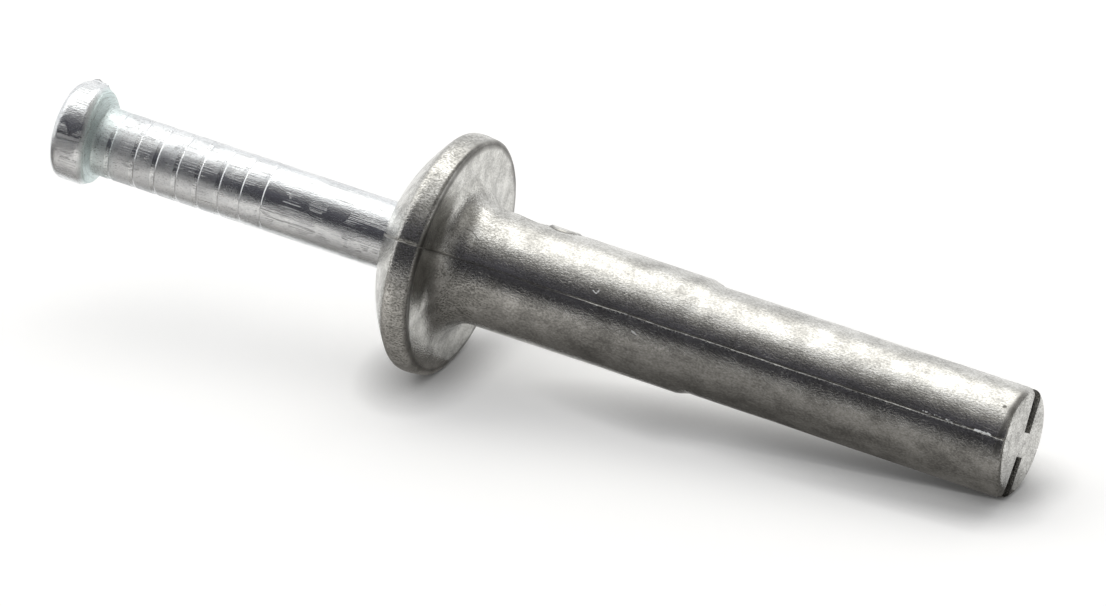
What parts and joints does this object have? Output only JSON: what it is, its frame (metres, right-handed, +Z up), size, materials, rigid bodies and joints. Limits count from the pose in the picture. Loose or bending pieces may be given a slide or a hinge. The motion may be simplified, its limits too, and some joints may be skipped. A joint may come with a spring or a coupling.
{
  "type": "hammer drive anchor",
  "caption": "Nail-in masonry anchor: a die-cast mushroom-head body with a split shank, and a steel drive nail standing part-driven in its bore.",
  "frame": {"origin": "on the floor, under the middle of the lying anchor's bounding box", "axes": "+Z up from the floor it lies on, +X along the anchor's length towards the tip, which points slightly down"},
  "size_m": [0.0542, 0.0126, 0.0126],
  "materials": {
    "cast_zinc": "satin",
    "zinc_plated_steel": "gloss"
  },
  "bodies": {
    "anchor": {"anchor_body": "cast_zinc"},
    "nail": {"drive_nail": "zinc_plated_steel"}
  },
  "joints": [
    {"name": "nail_drive", "type": "slide", "parent": "anchor", "child": "nail", "axis": [0.9944, 0, -0.1061], "range_m": [0, 0.01685]}
  ]
}
